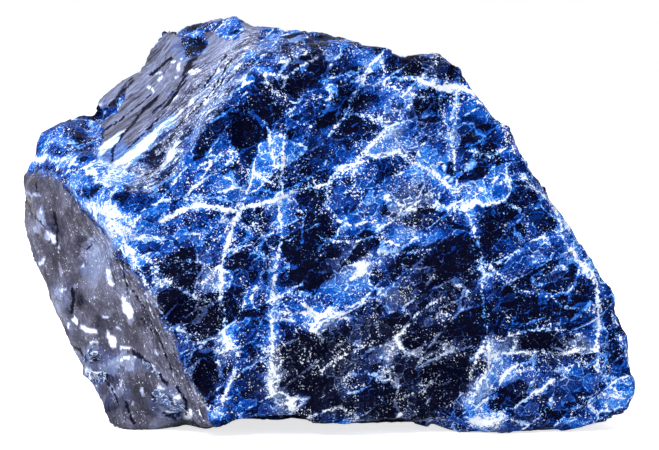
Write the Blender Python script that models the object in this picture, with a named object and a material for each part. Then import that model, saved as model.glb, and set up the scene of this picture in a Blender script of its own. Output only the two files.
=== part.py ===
"""Rough sodalite: one broken hand specimen, about 80 mm long, standing on a flat patch under its foot.

The stone is one piece. Its form is set by the corners of the big front fracture and of the edge behind it,
and a few flat fractures close the back. Relief then breaks each face up: blocky cleavage steps on the blue
faces, long plates on the grey top-left face, soft waves and ledges on the grey left face.

Axes: +X to the right along the front face, +Y to the back, +Z up, z = 0 at the foot.
Lengths here are in millimetres; the finished mesh is scaled to metres.
"""

import math

import bmesh
import bpy
from mathutils import Matrix, Vector, noise

MM = 0.001

# Corners of the stone, clockwise round the front face from its top-left corner.
# Each pair is (corner of the front face, corner of the rear edge behind it).
TOP_BEVEL = (
    ((-8.5, -11.6, 45.6), (-11.5, 3.0, 52.8)),
    ((-5.0, -11.4, 47.4), (-7.3, 1.0, 52.0)),
    ((-1.4, -11.3, 48.5), (-3.4, -2.0, 50.9)),
    ((1.9, -11.0, 49.3), (0.6, -5.0, 50.1)),
)
RIGHT_FLANK = (
    ((5.3, -10.5, 48.6), (4.0, 3.0, 47.9)),
    ((9.5, -9.9, 47.6), (8.5, 6.0, 46.3)),
    ((12.0, -9.5, 48.0), (11.0, 7.0, 46.0)),
    ((15.2, -9.1, 47.7), (13.5, 8.0, 44.7)),
    ((18.1, -9.0, 46.0), (15.9, 9.0, 43.0)),
    ((21.1, -8.9, 43.0), (18.6, 9.5, 40.1)),
    ((23.4, -8.8, 38.1), (21.2, 10.0, 35.6)),
    ((25.4, -8.8, 32.6), (23.7, 10.5, 30.8)),
    ((28.0, -8.8, 28.5), (26.0, 11.0, 26.7)),
    ((30.5, -8.8, 24.8), (28.4, 11.0, 22.8)),
    ((34.1, -8.8, 20.1), (31.5, 10.5, 18.5)),
    ((36.7, -8.9, 17.0), (34.0, 10.0, 15.2)),
    ((37.7, -9.0, 13.6), (34.8, 9.5, 11.6)),
    ((38.2, -9.3, 8.4), (35.0, 9.0, 7.5)),
    ((39.0, -9.5, 5.0), (35.5, 8.5, 4.5)),
    ((38.7, -9.8, 2.2), (34.5, 8.0, 1.4)),
)
FOOT = (
    ((34.7, -10.5, 0.6), (31.0, 6.0, 0.8)),
    ((30.7, -11.2, 0.2), (27.0, 7.0, 0.8)),
    ((27.3, -11.8, 0.1), (23.0, 9.0, 0.6)),
    ((21.5, -12.6, 0.6), (18.0, 11.0, 0.4)),
    ((13.9, -13.8, 0.9), (11.0, 12.0, 0.3)),
    ((1.9, -15.6, 1.7), (1.0, 13.0, 0.3)),
    ((-4.7, -15.8, 2.4), (-6.0, 13.0, 0.4)),
    ((-11.2, -15.9, 0.9), (-12.0, 11.0, 0.5)),
    ((-13.0, -16.0, 0.4), (-21.0, 4.0, 0.4)),
)
LEFT_FACE = (
    ((-14.3, -16.0, 0.9), (-27.2, -8.0, -0.3)),
    ((-15.4, -15.8, 3.4), (-29.0, -6.5, 1.0)),
    ((-16.7, -15.5, 5.8), (-29.7, -5.0, 2.8)),
    ((-19.7, -14.9, 11.6), (-32.1, -1.0, 6.7)),
    ((-20.6, -14.7, 13.8), (-34.5, 1.3, 8.9)),
    ((-22.2, -14.3, 17.8), (-36.0, 3.5, 12.4)),
    ((-24.7, -13.9, 22.4), (-38.9, 7.0, 19.2)),
    ((-27.7, -13.3, 27.9), (-40.7, 9.0, 26.3)),
)
KNOB = (
    ((-28.0, -13.2, 29.0), (-40.7, 10.0, 31.6)),
    ((-27.5, -13.1, 29.9), (-38.7, 11.0, 35.8)),
    ((-26.0, -13.1, 30.4), (-36.0, 12.0, 38.4)),
    ((-23.7, -13.1, 30.7), (-32.2, 13.0, 39.8)),
    ((-22.0, -13.0, 31.9), (-30.9, 13.5, 41.7)),
)
TOP_LEFT_FACE = (
    ((-19.7, -12.8, 33.7), (-27.5, 14.0, 45.2)),
    ((-16.7, -12.5, 36.5), (-24.9, 15.0, 48.9)),
    ((-14.7, -12.1, 40.3), (-22.0, 14.0, 52.3)),
    ((-11.5, -11.8, 43.6), (-16.5, 9.0, 51.9)),
)
CORNERS = TOP_BEVEL + RIGHT_FLANK + FOOT + LEFT_FACE + KNOB + TOP_LEFT_FACE

# Behind the rear edge the stone narrows about this point, down to the depth BACK_Y.
BACK_CENTRE = (-2.0, 24.0)
BACK_SHRINK = 0.62
BACK_Y = 23.0

# Flat fractures across the back: (a point on the plane, its outward direction).
BACK_FRACTURES = (
    ((-20.0, 16.5, 52.5), (-0.10, 0.72, 0.69)),
    ((20.0, 15.0, 20.0), (0.55, 0.82, 0.15)),
    ((-34.0, 17.0, 22.0), (-0.62, 0.78, -0.05)),
    ((2.0, 18.0, 6.0), (0.12, 0.86, -0.50)),
    ((12.0, 14.5, 39.0), (0.45, 0.55, 0.70)),
    ((-22.0, 14.0, 8.0), (-0.50, 0.62, -0.60)),
)

# Directions that the three faces in view look along, and how squarely a spot must share one to belong to it.
FRONT_LOOKS = Vector((0.08, -0.99, 0.10)).normalized()
TOP_LEFT_LOOKS = Vector((-0.60, -0.42, 0.68)).normalized()
LEFT_LOOKS = Vector((-0.75, -0.64, -0.12)).normalized()
FACE_FROM = 0.78
FACE_FULL = 0.93

# Blocks of the blue rock: size, difference in level and slope of the coarse and the fine break.
COARSE_BLOCK = 8.5
COARSE_LEVEL = 0.40
COARSE_SLOPE = 0.12
FINE_BLOCK = 4.2
FINE_LEVEL = 0.22
FINE_SLOPE = 0.18
BLUE_OVERSIZE = 0.10
BACK_BLOCK = 17.0
BACK_LEVEL = 1.0
BACK_SLOPE = 0.13
BACK_FROM = -0.35
BACK_FULL = 0.25
UNDERSIDE_BELOW = -0.9
UNDERSIDE_ABOVE = -0.6
CLEAVAGE_TURN = math.radians(33.0)
CLEAVAGE_STRETCH = 1.7

# Patches of this size are calm, with less of the fine break, and others are fully broken.
CALM_SIZE = 13.0
CALM_SHARE = 0.25
CALM_BELOW = -0.15
BROKEN_ABOVE = 0.25

# Each block's slope and its level come from its place, spread out by these factors.
LEAN_SPREAD = 31.7
LEVEL_SPREAD = 17.3

# Plates of the grey top-left face, which run parallel to its front edge.
PLATE_ALONG = Vector((0.735, 0.065, 0.674)).normalized()
PLATE_ACROSS = Vector((-0.14, 0.90, 0.41)).normalized()
PLATE_WIDTH = 2.7
PLATE_LENGTH = 13.0
PLATE_LEVEL = 0.65
PLATE_SLOPE = 0.10

# The plates' borders wander by this much over these lengths, along the plates and from front to back.
PLATE_WANDER = 2.0
PLATE_WANDER_ALONG = 11.0
PLATE_WANDER_DEEP = 16.5
PLATE_WANDER_AT = 3.0
PLATE_START_SPREAD = Vector((3.7, 1.5, 8.5))
PLATE_LEVEL_SPREAD = Vector((1.9, 2.3, 5.5))

# The left face: soft waves.
WAVE_LENGTH = 7.0
WAVE_HEIGHT = 0.6
GREY_UNDERSIZE = 0.4

# Lumps and hollows, each (centre, half sizes along its own x, y and z, turn about Y in degrees, height).
FRONT_LUMPS = (
    ((4.1, -12.1, 31.1), (5.2, 9.0, 4.6), 20.0, 0.9),
    ((10.4, -11.6, 29.2), (2.3, 9.0, 3.3), 0.0, 0.7),
    ((-10.2, -13.9, 21.8), (2.8, 9.0, 2.7), 0.0, 0.8),
    ((-6.6, -12.1, 35.9), (1.2, 9.0, 4.6), 0.0, 0.7),
    ((18.5, -12.4, 7.5), (2.2, 9.0, 5.2), 0.0, 0.6),
    ((-10.2, -12.0, 38.4), (2.0, 9.0, 2.7), 0.0, -1.2),
    ((-4.7, -11.3, 43.6), (1.5, 9.0, 1.9), 0.0, -0.9),
    ((4.5, -10.8, 42.4), (3.4, 9.0, 1.8), 35.0, -0.9),
    ((1.9, -11.3, 38.9), (3.2, 9.0, 1.8), 0.0, -0.8),
    ((-16.4, -14.6, 15.2), (3.6, 9.0, 2.1), 0.0, -1.1),
    ((-15.3, -15.2, 8.3), (2.0, 9.0, 3.5), 0.0, -1.0),
    ((27.0, -10.8, 11.0), (6.3, 9.0, 1.0), 0.0, -0.9),
    ((19.4, -9.4, 37.0), (3.6, 9.0, 2.6), -25.0, -0.7),
    ((8.7, -10.1, 46.1), (1.9, 9.0, 1.7), 0.0, -0.7),
    ((12.9, -13.5, 5.8), (5.0, 9.0, 2.3), 30.0, -0.8),
    ((13.3, -12.2, 18.3), (4.8, 9.0, 5.0), 0.0, -0.5),
    ((1.0, -14.0, 10.0), (3.0, 9.0, 4.2), 0.0, -0.6),
)
LEFT_LUMPS = (
    ((-36.6, 2.2, 25.8), (1.5, 3.0, 3.6), 20.0, 0.8),
    ((-30.5, -5.0, 20.8), (2.8, 4.0, 4.2), 25.0, -0.7),
    ((-34.8, 2.2, 16.0), (1.7, 2.6, 1.9), 0.0, 0.9),
    ((-37.8, 4.5, 29.9), (3.0, 5.0, 2.0), 0.0, 0.5),
    ((-29.5, -4.5, 7.4), (4.6, 5.0, 1.1), 15.0, 0.8),
    ((-24.1, -9.7, 4.6), (1.5, 3.0, 3.2), 30.0, 0.6),
)
KNOB_LUMPS = (
    ((-36.0, 6.8, 36.0), (3.6, 6.0, 3.0), 0.0, 0.9),
    ((-30.8, -6.0, 31.8), (3.0, 4.0, 2.0), 20.0, 0.6),
    ((-31.4, 9.0, 38.6), (1.3, 11.0, 2.4), 10.0, -1.5),
)
TOP_LEFT_LUMPS = (
    ((-23.0, 13.0, 48.5), (6.5, 6.0, 3.6), 45.0, -0.9),
    ((-22.1, -8.5, 34.5), (4.2, 3.2, 2.0), 42.0, -0.8),
    ((-16.9, 3.2, 48.3), (2.2, 2.2, 2.0), 0.0, -0.7),
)
FOOT_LUMPS = (
    ((2.0, 4.0, 0.6), (18.0, 9.0, 6.0), 0.0, 1.5),
    ((-24.0, -5.0, 0.6), (5.0, 4.0, 3.0), 0.0, 0.7),
    ((-20.4, -12.4, 0.9), (4.8, 4.8, 3.2), 0.0, -2.4),
)
LUMPS = FOOT_LUMPS + FRONT_LUMPS + LEFT_LUMPS + KNOB_LUMPS + TOP_LEFT_LUMPS
LUMP_SHOULDER = 0.62
LUMP_WARP = 1.1
LUMP_WARP_SIZE = 4.0
WARP_SIDEWAYS_AT = Vector((17.0, 3.0, 8.0))
WARP_UPWARDS_AT = Vector((5.0, 29.0, 11.0))

# Below this ledge the foot of the left face is set in.
LEDGE_Z = 8.2
LEDGE_X = -24.0
LEDGE_DEPTH = 0.3
LEDGE_RISE = 0.12
LEDGE_SOFT_Z = 0.4
LEDGE_SOFT_X = 2.0

# The foot rests where it reaches down to z = 0; what comes nearer to it than this is worn flat.
FOOT_WORN = 0.04

GRIT = 0.12
GRIT_SIZE = 1.6
SCULPT_STEP = 0.7
SKIN_STEP = 0.6
TRIANGLES = 9300

STONE_COLOUR = (0.02, 0.06, 0.30, 1.0)
STONE_ROUGHNESS = 0.35


def smooth(low, high, value):
    """Eases from 0 at low to 1 at high."""
    share = min(max((value - low) / (high - low), 0.0), 1.0)
    return share * share * (3.0 - 2.0 * share)


def extrude_ring(bm, ring, places):
    """Extrudes a closed ring of vertices once, moves the new ones to the places given and returns them."""
    size = len(ring)
    edges = [bm.edges.get((ring[index], ring[(index + 1) % size])) for index in range(size)]
    made = bmesh.ops.extrude_edge_only(bm, edges=edges)["geom"]
    fresh = {item for item in made if isinstance(item, bmesh.types.BMVert)}
    following = []
    for vert, place in zip(ring, places):
        twin = next(edge.other_vert(vert) for edge in vert.link_edges if edge.other_vert(vert) in fresh)
        twin.co = place
        following.append(twin)
    return following


def blank():
    """The stone before its relief: front face, rear edge and back, as one closed mesh."""
    bm = bmesh.new()
    front = [bm.verts.new(pair[0]) for pair in CORNERS]
    bm.faces.new(front)
    rear = extrude_ring(bm, front, [Vector(pair[1]) for pair in CORNERS])
    centre_x, centre_z = BACK_CENTRE
    narrowed = []
    for _, (x, _, z) in CORNERS:
        back_x = centre_x + (x - centre_x) * BACK_SHRINK
        back_z = centre_z + (z - centre_z) * BACK_SHRINK
        narrowed.append(Vector((back_x, BACK_Y, back_z)))
    bm.faces.new(extrude_ring(bm, rear, narrowed))
    bmesh.ops.triangulate(bm, faces=bm.faces[:])
    bmesh.ops.recalc_face_normals(bm, faces=bm.faces[:])
    return bm


def fractured(place):
    """A place brought back onto each flat fracture that it lies beyond."""
    for point, outward in BACK_FRACTURES:
        direction = Vector(outward).normalized()
        beyond = (place - Vector(point)).dot(direction)
        place = place - direction * max(beyond, 0.0)
    return place


def blocks(place, size, level, slope):
    """Height of rock broken into blocks: each has its own level and its own slope."""
    at = place / size
    centre = noise.voronoi(at)[1][0]
    lean = noise.cell_vector(centre * LEAN_SPREAD) * 2.0 - Vector((1.0, 1.0, 1.0))
    return noise.cell(centre * LEVEL_SPREAD) * level + (at - centre).dot(lean) * slope * size


def cleaved(place):
    """Height of the blue rock, whose blocks are drawn out along its cleavage."""
    turned = Matrix.Rotation(CLEAVAGE_TURN, 3, "Y") @ place
    turned.x /= CLEAVAGE_STRETCH
    coarse = blocks(turned, COARSE_BLOCK, COARSE_LEVEL, COARSE_SLOPE)
    fine = blocks(turned, FINE_BLOCK, FINE_LEVEL, FINE_SLOPE)
    broken = CALM_SHARE + (1.0 - CALM_SHARE) * smooth(CALM_BELOW, BROKEN_ABOVE, noise.noise(place / CALM_SIZE))
    return coarse + fine * broken - BLUE_OVERSIZE


def plated(place):
    """Height of the grey top-left face: long plates in steps, each cut off along its length."""
    along = place.dot(PLATE_ALONG)
    at = Vector((along / PLATE_WANDER_ALONG, place.y / PLATE_WANDER_DEEP, PLATE_WANDER_AT))
    row = (place.dot(PLATE_ACROSS) + noise.noise(at) * PLATE_WANDER) / PLATE_WIDTH
    index = math.floor(row)
    start = noise.cell(Vector((index, 1.0, 1.0)) * PLATE_START_SPREAD)
    piece = math.floor(along / PLATE_LENGTH + start)
    level = noise.cell(Vector((index, piece, 1.0)) * PLATE_LEVEL_SPREAD)
    return level * PLATE_LEVEL + (row - index - 0.5) * PLATE_SLOPE * PLATE_WIDTH


def waved(place):
    """Height of the grey left face: soft waves, and a ledge above its foot."""
    soft = noise.noise(place / WAVE_LENGTH) * WAVE_HEIGHT * 2.0
    level = place.z + (place.x - LEDGE_X) * LEDGE_RISE
    below = smooth(LEDGE_Z + LEDGE_SOFT_Z, LEDGE_Z - LEDGE_SOFT_Z, level)
    return soft - LEDGE_DEPTH * below * smooth(LEDGE_X + LEDGE_SOFT_X, LEDGE_X - LEDGE_SOFT_X, place.x)


def drift(place):
    """A smooth wandering direction, which keeps the lumps from being round."""
    sideways = noise.noise(place + WARP_SIDEWAYS_AT)
    upwards = noise.noise(place + WARP_UPWARDS_AT)
    return Vector((noise.noise(place), sideways, upwards))


def lumps(place):
    """Sum of the named lumps and hollows at a place."""
    height = 0.0
    warped = place + drift(place / LUMP_WARP_SIZE) * LUMP_WARP
    for centre, half, turn, lift in LUMPS:
        offset = Matrix.Rotation(math.radians(turn), 3, "Y") @ (warped - Vector(centre))
        reach = Vector((offset.x / half[0], offset.y / half[1], offset.z / half[2])).length
        if reach < 1.0:
            height += lift * smooth(1.0, LUMP_SHOULDER, reach)
    return height


def outward_at(vert):
    """Direction the surface looks along at a vertex, summed in the same order each time."""
    total = Vector((0.0, 0.0, 0.0))
    for face in vert.link_faces:
        total += face.normal * face.calc_area()
    return total.normalized()


def relief(place, outward):
    """How far the surface at a place stands out from the blank."""
    front = smooth(FACE_FROM, FACE_FULL, outward.dot(FRONT_LOOKS))
    top_left = smooth(FACE_FROM, FACE_FULL, outward.dot(TOP_LEFT_LOOKS))
    left = smooth(FACE_FROM, FACE_FULL, outward.dot(LEFT_LOOKS)) * (1.0 - front) * (1.0 - top_left)
    blue = 1.0 - max(top_left, left)
    height = blue * cleaved(place) + top_left * plated(place) + left * waved(place)
    height += (1.0 - blue) * GREY_UNDERSIZE
    behind = smooth(BACK_FROM, BACK_FULL, outward.y) * smooth(UNDERSIDE_BELOW, UNDERSIDE_ABOVE, outward.z)
    height += behind * (blocks(place, BACK_BLOCK, BACK_LEVEL, BACK_SLOPE) - BACK_LEVEL / 2.0)
    return height + lumps(place) + noise.noise(place / GRIT_SIZE) * GRIT


def evaluated(mesh, kind, **settings):
    """A copy of the mesh with one modifier worked in."""
    carrier = bpy.data.objects.new("carrier", mesh)
    bpy.context.scene.collection.objects.link(carrier)
    modifier = carrier.modifiers.new(kind.title(), kind)
    for name, value in settings.items():
        setattr(modifier, name, value)
    graph = bpy.context.evaluated_depsgraph_get()
    result = bpy.data.meshes.new_from_object(carrier.evaluated_get(graph))
    bpy.data.objects.remove(carrier)
    bpy.data.meshes.remove(mesh)
    return result


def to_mesh(bm, name):
    mesh = bpy.data.meshes.new(name)
    bm.to_mesh(mesh)
    bm.free()
    return mesh


def from_mesh(mesh):
    bm = bmesh.new()
    bm.from_mesh(mesh)
    bm.normal_update()
    bpy.data.meshes.remove(mesh)
    return bm


def wear_foot(bm):
    """Flattens the underside at z = 0."""
    for vert in bm.verts:
        if vert.co.z < FOOT_WORN:
            vert.co.z = 0.0


def sculpted():
    """The blank with its fractures and relief."""
    mesh = evaluated(to_mesh(blank(), "blank"), "REMESH", mode="VOXEL", voxel_size=SCULPT_STEP)
    bm = from_mesh(mesh)
    for vert in bm.verts:
        vert.co = fractured(vert.co)
    bm.normal_update()
    directions = [outward_at(vert) for vert in bm.verts]
    for vert, outward in zip(bm.verts, directions):
        vert.co += outward * relief(vert.co, outward)
    return to_mesh(bm, "sculpted")


def stone_mesh():
    """The whole stone at its real size: relief, flat foot, fewer triangles, origin under its middle."""
    bm = from_mesh(evaluated(sculpted(), "REMESH", mode="VOXEL", voxel_size=SKIN_STEP))
    wear_foot(bm)
    share = TRIANGLES / (2.0 * len(bm.faces))
    bm = from_mesh(evaluated(to_mesh(bm, "worn"), "DECIMATE", ratio=share))
    wear_foot(bm)
    bmesh.ops.triangulate(bm, faces=bm.faces[:])
    low_x = min(vert.co.x for vert in bm.verts)
    high_x = max(vert.co.x for vert in bm.verts)
    low_y = min(vert.co.y for vert in bm.verts)
    high_y = max(vert.co.y for vert in bm.verts)
    middle = Vector(((low_x + high_x) / 2.0, (low_y + high_y) / 2.0, 0.0))
    bmesh.ops.translate(bm, verts=bm.verts[:], vec=-middle)
    bmesh.ops.scale(bm, verts=bm.verts[:], vec=(MM, MM, MM))
    return to_mesh(bm, "sodalite_stone")


def stone_material():
    material = bpy.data.materials.new("blue_rock")
    material.use_nodes = True
    shader = material.node_tree.nodes["Principled BSDF"]
    shader.inputs["Base Color"].default_value = STONE_COLOUR
    shader.inputs["Roughness"].default_value = STONE_ROUGHNESS
    shader.inputs["Metallic"].default_value = 0.0
    return material


def main():
    for thing in list(bpy.data.objects):
        bpy.data.objects.remove(thing)
    mesh = stone_mesh()
    mesh.materials.append(stone_material())
    stone = bpy.data.objects.new("sodalite_stone", mesh)
    bpy.context.scene.collection.objects.link(stone)


main()
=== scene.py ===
import math

import bmesh
import bpy
import numpy as np
from mathutils import Matrix, Vector, noise


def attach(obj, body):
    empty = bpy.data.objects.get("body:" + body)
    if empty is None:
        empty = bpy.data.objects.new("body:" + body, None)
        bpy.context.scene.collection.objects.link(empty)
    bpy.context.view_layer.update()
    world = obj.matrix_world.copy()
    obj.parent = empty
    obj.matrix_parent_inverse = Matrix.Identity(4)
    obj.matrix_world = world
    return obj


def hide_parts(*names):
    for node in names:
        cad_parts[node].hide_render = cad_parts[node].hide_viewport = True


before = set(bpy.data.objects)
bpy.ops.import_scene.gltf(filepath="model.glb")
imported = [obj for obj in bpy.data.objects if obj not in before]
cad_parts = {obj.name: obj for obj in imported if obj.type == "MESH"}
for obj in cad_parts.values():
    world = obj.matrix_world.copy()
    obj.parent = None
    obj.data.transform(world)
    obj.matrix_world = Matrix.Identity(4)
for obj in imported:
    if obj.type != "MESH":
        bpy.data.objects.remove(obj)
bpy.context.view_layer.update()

bl_info = {
    "name": "Rough sodalite",
    "version": (1, 0, 0),
    "blender": (4, 5, 0),
    "location": "View3D > Sidebar > Sodalite",
    "description": "Finishes a rough sodalite stone and sets it on a pale stage",
    "category": "Object",
}

NODE = "sodalite_stone"
MM = 0.001

# The picture that the markings are placed in: its size in pixels and the camera that it is seen by.
PICTURE_WIDTH = 659
PICTURE_HEIGHT = 450
VIEW_CENTRE = Vector((0.000985, -0.00465, 0.0256))
VIEW_DISTANCE = 0.357
VIEW_LENS = 150.0
VIEW_SENSOR = 36.0
VIEW_ELEVATION = 4.0

# Outlines of the painted sheen (grey standing in for glossy reflection) of the top-left and left faces in the
# picture, drawn past the stone's edge where they reach it.
TOP_SHEEN = (
    (98, 156), (94, 118), (90, 80), (160, 5), (262, 5), (258, 44), (256, 62), (240, 80), (226, 96),
    (216, 110), (206, 124), (196, 136), (184, 152), (176, 172), (150, 190), (132, 190), (138, 172),
    (126, 168), (112, 166),
)
LEFT_SHEEN = (
    (5, 172), (26, 172), (50, 174), (64, 184), (80, 206), (94, 222), (110, 241), (116, 258), (133, 272),
    (154, 296), (160, 314), (175, 340), (178, 361), (194, 382), (206, 406), (216, 440), (100, 455),
    (5, 300),
)

# White veins: half width in mm, then the lines of that width, each given by its points in the picture.
VEINS = (
    (0.34, ((160, 222), (172, 215), (197, 203), (212, 206), (230, 212), (256, 205), (280, 199)),
     ((425, 82), (440, 88), (455, 87), (470, 92))),
    (0.19, ((280, 199), (300, 190), (330, 183)), ((225, 335), (240, 352), (232, 375), (222, 400)),
     ((410, 78), (425, 82)), ((395, 150), (430, 170), (452, 190), (455, 215)),
     ((574, 262), (590, 272), (598, 290)), ((494, 356), (530, 352), (560, 353), (595, 348)),
     ((488, 205), (505, 200), (520, 210)), ((310, 415), (340, 408), (356, 416))),
    (0.2, ((266, 122), (272, 150), (281, 187)),
     ((281, 187), (281, 215), (282, 245), (276, 270), (274, 285), (272, 320), (271, 360), (270, 390)),
     ((278, 62), (294, 57), (309, 51)), ((470, 92), (486, 106), (500, 122)),
     ((303, 303), (318, 315), (345, 312)), ((555, 205), (565, 240), (582, 268), (598, 290)),
     ((598, 290), (598, 320), (597, 345), (596, 372)), ((488, 340), (490, 365), (478, 385), (470, 400))),
    (0.17, ((285, 128), (284, 155), (281, 187)), ((262, 72), (285, 78), (318, 56)),
     ((330, 134), (360, 90), (372, 68)), ((325, 205), (330, 180), (345, 166), (372, 158), (400, 150)),
     ((320, 240), (350, 244), (378, 236), (400, 246)), ((470, 270), (500, 262), (520, 250)),
     ((520, 405), (538, 392), (556, 378)), ((88, 205), (104, 214), (124, 240), (150, 292), (172, 330))),
    (0.27, ((240, 212), (228, 238), (221, 268), (222, 300), (224, 330), (228, 350))),
    (0.11, ((242, 282), (250, 297), (258, 312)), ((262, 280), (250, 297), (240, 312))),
    (0.15, ((228, 250), (248, 244), (266, 256)), ((200, 285), (220, 265), (240, 245)),
     ((382, 62), (386, 84)), ((344, 112), (368, 116), (390, 122)), ((325, 205), (345, 225), (372, 222)),
     ((320, 370), (340, 358), (362, 345)), ((478, 235), (484, 275), (482, 300)),
     ((596, 372), (610, 385), (618, 392))),
    (0.13, ((437, 87), (440, 105), (447, 125), (452, 142), (452, 160))),
    (0.12, ((456, 92), (458, 112), (452, 130)), ((226, 150), (240, 166), (262, 178), (281, 187)),
     ((196, 170), (214, 158), (238, 150)), ((186, 196), (200, 180), (214, 158)),
     ((208, 268), (196, 262), (172, 262)), ((214, 245), (228, 228), (240, 212)),
     ((282, 245), (296, 236), (318, 222)), ((276, 300), (292, 290), (304, 282)),
     ((330, 183), (350, 168), (366, 150), (384, 132)), ((366, 68), (384, 86), (404, 92)),
     ((404, 92), (420, 98), (444, 96)), ((500, 122), (512, 146), (530, 172)),
     ((520, 175), (536, 190), (555, 205)), ((500, 378), (528, 368), (552, 372)),
     ((552, 372), (580, 362), (600, 372)), ((520, 405), (500, 412), (486, 424))),
    (0.14, ((360, 150), (352, 175), (356, 195)), ((482, 300), (488, 330), (480, 352)),
     ((500, 340), (530, 330), (560, 328), (590, 340)), ((470, 150), (492, 156), (520, 140)),
     ((372, 140), (392, 128), (410, 104)), ((476, 240), (484, 262), (500, 276)),
     ((430, 320), (444, 312), (456, 318)), ((470, 400), (468, 380), (478, 352))),
    (0.32, ((472, 420), (486, 424), (498, 420))),
    (0.18, ((150, 262), (168, 280), (188, 292), (212, 306)), ((128, 246), (150, 262), (162, 286)),
     ((190, 388), (202, 400), (212, 414))),
    (0.16, ((198, 344), (212, 338), (226, 344)), ((280, 312), (300, 313), (330, 317), (348, 318)),
     ((452, 160), (458, 190), (468, 215), (476, 240))),
    (0.08, ((256, 205), (250, 220), (266, 240), (276, 252)), ((244, 226), (262, 226), (280, 228)),
     ((296, 104), (290, 118), (310, 128)), ((500, 276), (520, 290), (548, 296)),
     ((380, 262), (404, 252), (430, 250)), ((404, 330), (390, 352), (384, 372))),
    (0.07, ((286, 306), (300, 340), (312, 372)), ((276, 330), (288, 356), (300, 380)),
     ((300, 68), (324, 78), (332, 100)), ((300, 110), (318, 96), (332, 100))),
    (0.1, ((262, 72), (272, 92), (296, 104)), ((462, 185), (486, 190), (506, 182)),
     ((548, 296), (566, 306), (598, 312)), ((440, 300), (420, 312), (404, 330)),
     ((580, 400), (600, 392), (620, 396)), ((606, 300), (618, 330), (628, 366)),
     ((610, 385), (604, 404), (612, 420))),
    (0.06, ((400, 400), (420, 392), (440, 376)), ((318, 400), (338, 386), (352, 372))),
    (0.09, ((106, 128), (130, 106), (148, 78))),
)

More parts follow.
